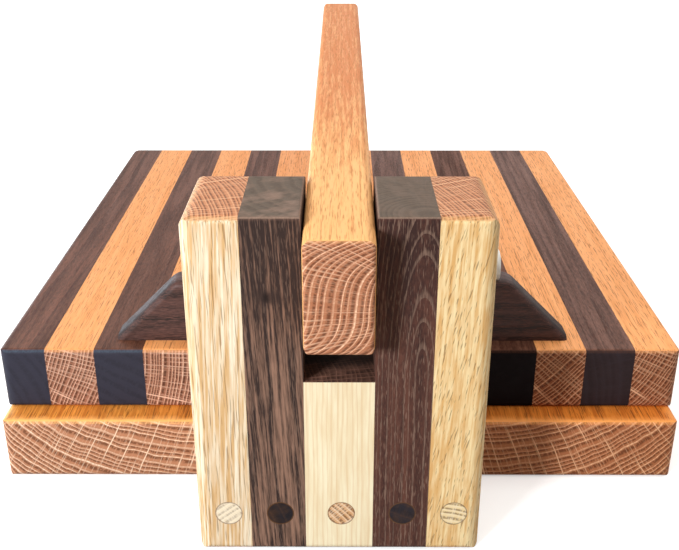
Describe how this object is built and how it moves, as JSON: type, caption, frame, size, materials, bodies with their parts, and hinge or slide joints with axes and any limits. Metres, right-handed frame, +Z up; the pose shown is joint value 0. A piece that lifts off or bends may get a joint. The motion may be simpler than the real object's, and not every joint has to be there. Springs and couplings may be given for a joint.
{
  "type": "tortilla press",
  "caption": "Hardwood tortilla press: two hinged square boards, the upper striped from light and dark staves, with a slotted front post and a long lever that bears on a rounded bar.",
  "frame": {"origin": "middle of the base board's underside, on the table", "axes": "+Z up, +Y to the rear along the lever, from the post towards the hinges, +X to the right seen from the post"},
  "size_m": [0.2646, 0.382, 0.1355],
  "materials": {
    "oak": "oiled red oak",
    "walnut": "oiled black walnut",
    "maple": "oiled hard maple",
    "brass": "satin brass",
    "steel": "ground steel",
    "nylon": "turned white nylon"
  },
  "bodies": {
    "base": {"base_board": "oak", "left_outer_cheek": "oak", "left_inner_cheek": "walnut", "centre_spacer": "maple", "right_inner_cheek": "walnut", "right_outer_cheek": "oak", "pivot_pin": "steel", "left_pivot_plug": "walnut", "right_pivot_plug": "walnut", "dowel_left_outer": "oak", "dowel_left_inner": "walnut", "dowel_centre": "oak", "dowel_right_inner": "walnut", "dowel_right_outer": "oak", "left_base_leaf": "brass", "right_base_leaf": "brass", "left_hinge_pin": "brass", "right_hinge_pin": "brass", "base_leaf_screws": "brass"},
    "plate": {"stave_01": "walnut", "stave_02": "oak", "stave_03": "walnut", "stave_04": "oak", "stave_05": "walnut", "stave_06": "oak", "stave_07": "walnut", "stave_08": "oak", "stave_09": "walnut", "stave_10": "oak", "stave_11": "walnut", "stave_12": "oak", "stave_13": "walnut", "stave_14": "oak", "pressure_bar": "walnut", "wear_rod": "nylon", "left_plate_leaf": "brass", "right_plate_leaf": "brass", "plate_leaf_screws": "brass"},
    "lever": {"lever": "oak"}
  },
  "joints": [
    {"name": "plate_hinge", "type": "hinge", "parent": "base", "child": "plate", "pos_m": [0, 0.1431, 0.0254], "axis": [-1, 0, 0], "range_deg": [0, 38.5]},
    {"name": "lever_pivot", "type": "hinge", "parent": "base", "child": "lever", "pos_m": [0, -0.1667, 0.105], "axis": [1, 0, 0], "range_deg": [0, 190]}
  ],
  "couplings": [
    {"joint": "lever_pivot", "follows": "plate_hinge", "ratio": 4.9}
  ]
}
